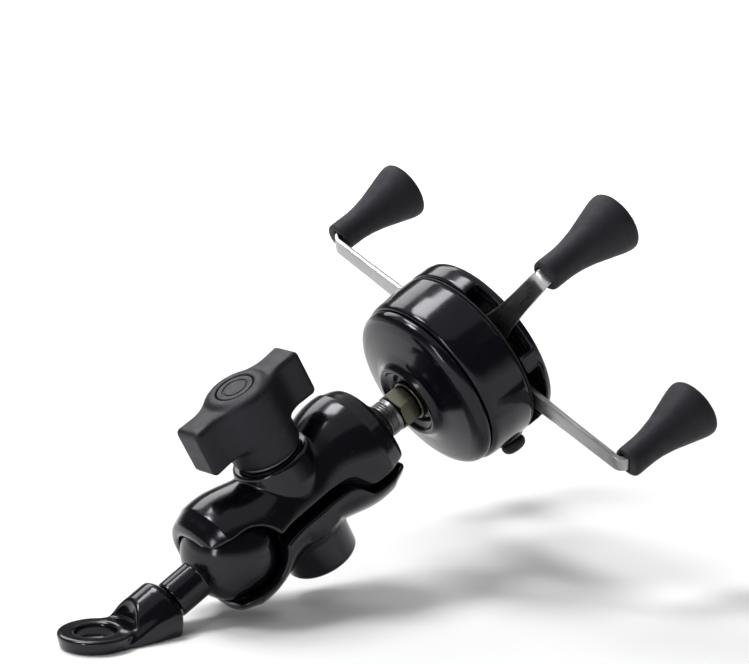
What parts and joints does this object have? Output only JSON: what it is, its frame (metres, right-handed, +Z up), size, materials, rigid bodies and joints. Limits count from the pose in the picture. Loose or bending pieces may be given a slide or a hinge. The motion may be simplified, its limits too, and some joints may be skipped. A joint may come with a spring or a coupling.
{
  "type": "phone handlebar mount",
  "caption": "Motorcycle phone mount: bolt-on eyelet, two ball joints in a clamp arm with a wing knob, and a round spring grip with crossed bars and flared rubber posts.",
  "frame": {"origin": "centre of the mirror-bolt hole on the underside of the eyelet", "axes": "+Z up along the mirror bolt, +X from the bolt hole towards the phone, the mount lies along the plane Y = 0"},
  "size_m": [0.1681, 0.114, 0.1068],
  "materials": {
    "coated_black": "gloss",
    "drum_black": "gloss",
    "knob_black": "satin",
    "post_rubber": "matte",
    "stainless": "brushed",
    "nut_metal": "satin",
    "spring_steel": "satin",
    "insert_brass": "satin"
  },
  "bodies": {
    "base": {"base_eyelet": "coated_black"},
    "lower_stud": {"lower_ball_stud": "coated_black"},
    "arm_lower": {"arm_lower_shell": "coated_black", "clamp_bolt": "stainless", "shell_spring": "spring_steel"},
    "arm_upper": {"arm_upper_shell": "coated_black"},
    "knob": {"knob": "knob_black", "knob_insert": "insert_brass", "knob_cap": "knob_black", "knob_washer": "stainless"},
    "upper_joint": {"upper_ball": "knob_black", "upper_stud": "stainless", "stud_lock_nut": "nut_metal", "stud_spacer": "nut_metal", "stud_inner_nut": "stainless"},
    "holder": {"rear_cap": "drum_black", "drum_body": "drum_black", "seal_ring": "post_rubber", "front_cover": "drum_black", "phone_pad": "post_rubber", "pivot_pin": "stainless", "pivot_clip": "spring_steel", "grip_spring": "spring_steel", "cover_screw_1": "stainless", "cover_screw_2": "stainless", "cover_screw_3": "stainless", "cover_screw_4": "stainless"},
    "bar_a": {"grip_bar_a": "stainless", "post_upper_left": "post_rubber", "post_lower_right": "post_rubber"},
    "bar_b": {"grip_bar_b": "stainless", "post_upper_right": "post_rubber", "post_lower_left": "post_rubber"},
    "port": {"port_cap": "post_rubber"}
  },
  "joints": [
    {"name": "neck_swivel", "type": "hinge", "parent": "base", "child": "lower_stud", "pos_m": [0.039, 0, 0.0172], "axis": [0.8643, 0, 0.503], "range_deg": [-180, 180]},
    {"name": "lower_tilt", "type": "hinge", "parent": "lower_stud", "child": "arm_lower", "pos_m": [0.039, 0, 0.0172], "axis": [0, 1, 0], "range_deg": [-25, 25]},
    {"name": "shell_clamp", "type": "slide", "parent": "arm_lower", "child": "arm_upper", "axis": [-0.4726, 0, 0.8813], "range_m": [0, 0.00045], "deforming": ["shell_spring"]},
    {"name": "knob_turn", "type": "hinge", "parent": "arm_upper", "child": "knob", "pos_m": [0.05767, 0, 0.02806], "axis": [-0.4726, 0, 0.8813], "range_deg": [0, 150]},
    {"name": "upper_tilt", "type": "hinge", "parent": "arm_lower", "child": "upper_joint", "pos_m": [0.07461, 0, 0.03792], "axis": [0, 1, 0], "range_deg": [-25, 25]},
    {"name": "holder_spin", "type": "hinge", "parent": "upper_joint", "child": "holder", "pos_m": [0.09146, 0, 0.0467], "axis": [0.887, 0, 0.4617], "range_deg": [-180, 180]},
    {"name": "bar_a_swing", "type": "hinge", "parent": "holder", "child": "bar_a", "pos_m": [0.09146, 0, 0.0467], "axis": [0.887, 0, 0.4617], "range_deg": [-12, 15.5], "stiffness_Nm_per_rad": 0.8, "deforming": ["grip_spring"]},
    {"name": "bar_b_swing", "type": "hinge", "parent": "holder", "child": "bar_b", "pos_m": [0.09146, 0, 0.0467], "axis": [0.887, 0, 0.4617], "range_deg": [-15.5, 12]},
    {"name": "port_cap_pull", "type": "slide", "parent": "holder", "child": "port", "axis": [0.425, -0.3907, -0.8165], "range_m": [0, 0.006]}
  ],
  "couplings": [
    {"joint": "shell_clamp", "follows": "knob_turn", "m_per_rad": 0.00015915},
    {"joint": "bar_b_swing", "follows": "bar_a_swing", "ratio": -1}
  ]
}
